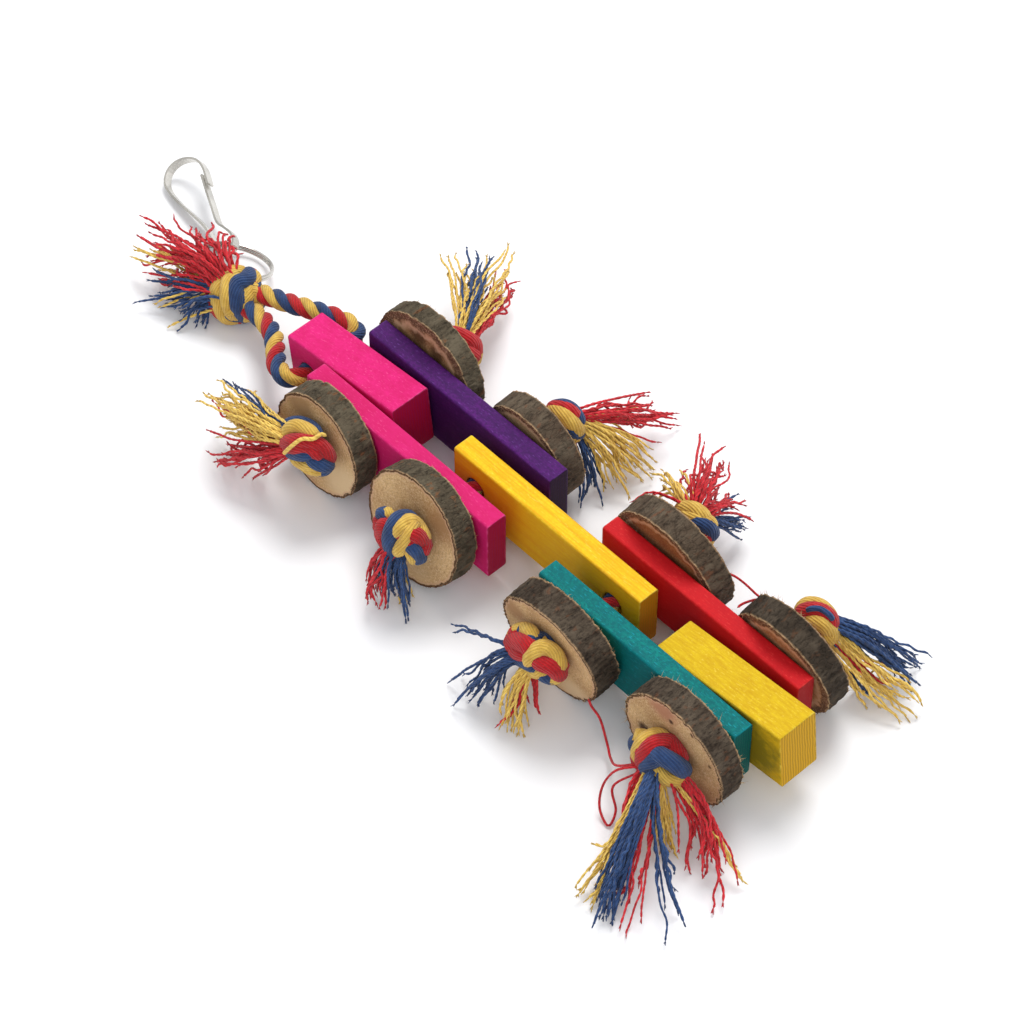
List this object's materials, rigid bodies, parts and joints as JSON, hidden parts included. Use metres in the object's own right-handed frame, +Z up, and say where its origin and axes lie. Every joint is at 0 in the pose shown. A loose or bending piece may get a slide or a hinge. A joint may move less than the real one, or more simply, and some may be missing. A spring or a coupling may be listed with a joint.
{
  "type": "hanging bird chew toy",
  "caption": "Hanging bird chew toy: dyed wood slats and blocks chained on knotted cotton ropes with branch slices, a rope loop, a split ring and a strip clip.",
  "frame": {"origin": "middle of the toy's box at the floor, with the toy lying as laid down on its branch slices", "axes": "+X along the chain from the clip to the free end, +Y from the front slices to the rear slices, +Z up from the floor"},
  "size_m": [0.353, 0.1615, 0.0452],
  "materials": {
    "pink_stain": "translucent dye on sawn wood",
    "purple_stain": "translucent dye on sawn wood",
    "yellow_stain": "translucent dye on sawn wood",
    "teal_stain": "translucent dye on sawn wood",
    "red_stain": "translucent dye on sawn wood",
    "branch_wood": "rough sawn face with bark on the rim",
    "row_cotton": "twisted cotton yarn in red, yellow and blue",
    "hanger_cotton": "twisted cotton yarn in red, yellow and blue",
    "nickel_strip": "thin nickel plating",
    "nickel_wire": "thin nickel plating"
  },
  "bodies": {
    "upper_frame": {"pink_slat": "pink_stain", "purple_slat": "purple_stain", "cross_rope_1": "row_cotton", "cross_rope_2": "row_cotton"},
    "pink_block_hanger": {"pink_block": "pink_stain", "hanger_rope": "hanger_cotton"},
    "split_ring": {"split_ring": "nickel_wire"},
    "snap_clip": {"snap_clip": "nickel_strip"},
    "yellow_link": {"yellow_link": "yellow_stain"},
    "lower_frame": {"teal_slat": "teal_stain", "red_slat": "red_stain", "cross_rope_3": "row_cotton", "cross_rope_4": "row_cotton"},
    "yellow_end_block": {"yellow_end_block": "yellow_stain"},
    "slice_front_1": {"slice_front_1": "branch_wood"},
    "slice_rear_1": {"slice_rear_1": "branch_wood"},
    "slice_front_2": {"slice_front_2": "branch_wood"},
    "slice_rear_2": {"slice_rear_2": "branch_wood"},
    "slice_front_3": {"slice_front_3": "branch_wood"},
    "slice_rear_3": {"slice_rear_3": "branch_wood"},
    "slice_front_4": {"slice_front_4": "branch_wood"},
    "slice_rear_4": {"slice_rear_4": "branch_wood"}
  },
  "joints": [
    {"name": "pink_block_swing", "type": "hinge", "parent": "upper_frame", "child": "pink_block_hanger", "pos_m": [-0.03605, 0, 0.0206], "axis": [0, 1, 0], "range_deg": [-90, 90]},
    {"name": "link_swing", "type": "hinge", "parent": "upper_frame", "child": "yellow_link", "pos_m": [0.01295, 0, 0.0206], "axis": [0, 1, 0], "range_deg": [-90, 90]},
    {"name": "lower_frame_swing", "type": "hinge", "parent": "yellow_link", "child": "lower_frame", "pos_m": [0.07695, 0, 0.0206], "axis": [0, 1, 0], "range_deg": [-90, 90]},
    {"name": "end_block_turn", "type": "hinge", "parent": "lower_frame", "child": "yellow_end_block", "pos_m": [0.13095, 0, 0.0206], "axis": [0, 1, 0], "continuous": true},
    {"name": "slice_front_1_turn", "type": "hinge", "parent": "upper_frame", "child": "slice_front_1", "pos_m": [-0.03605, -0.02365, 0.02209], "axis": [0, 0.9978, -0.0663], "continuous": true},
    {"name": "slice_rear_1_turn", "type": "hinge", "parent": "upper_frame", "child": "slice_rear_1", "pos_m": [-0.03605, 0.02215, 0.0223], "axis": [0, 0.9997, -0.0262], "continuous": true},
    {"name": "slice_front_2_turn", "type": "hinge", "parent": "upper_frame", "child": "slice_front_2", "pos_m": [0.01295, -0.02525, 0.0215], "axis": [0, 0.9816, -0.1908], "continuous": true},
    {"name": "slice_rear_2_turn", "type": "hinge", "parent": "upper_frame", "child": "slice_rear_2", "pos_m": [0.01295, 0.02474, 0.02199], "axis": [0, 0.9957, 0.0924], "continuous": true},
    {"name": "slice_front_3_turn", "type": "hinge", "parent": "lower_frame", "child": "slice_front_3", "pos_m": [0.07695, -0.02529, 0.02165], "axis": [0, 0.9903, 0.1392], "continuous": true},
    {"name": "slice_rear_3_turn", "type": "hinge", "parent": "lower_frame", "child": "slice_rear_3", "pos_m": [0.07695, 0.02475, 0.02158], "axis": [0, 0.9854, 0.1702], "continuous": true},
    {"name": "slice_front_4_turn", "type": "hinge", "parent": "lower_frame", "child": "slice_front_4", "pos_m": [0.13095, -0.02348, 0.02222], "axis": [0, 0.9993, 0.0384], "continuous": true},
    {"name": "slice_rear_4_turn", "type": "hinge", "parent": "lower_frame", "child": "slice_rear_4", "pos_m": [0.13095, 0.02441, 0.0215], "axis": [0, 0.9833, 0.1822], "continuous": true},
    {"name": "ring_swing", "type": "hinge", "parent": "pink_block_hanger", "child": "split_ring", "pos_m": [-0.11379, 0.00496, 0.01335], "axis": [0.6004, 0.7395, -0.3043], "range_deg": [-8, 25]},
    {"name": "clip_swing", "type": "hinge", "parent": "split_ring", "child": "snap_clip", "pos_m": [-0.136, 0.01521, 0.0052], "axis": [-0.3816, -0.8405, 0.3846], "range_deg": [-40, 10]}
  ]
}
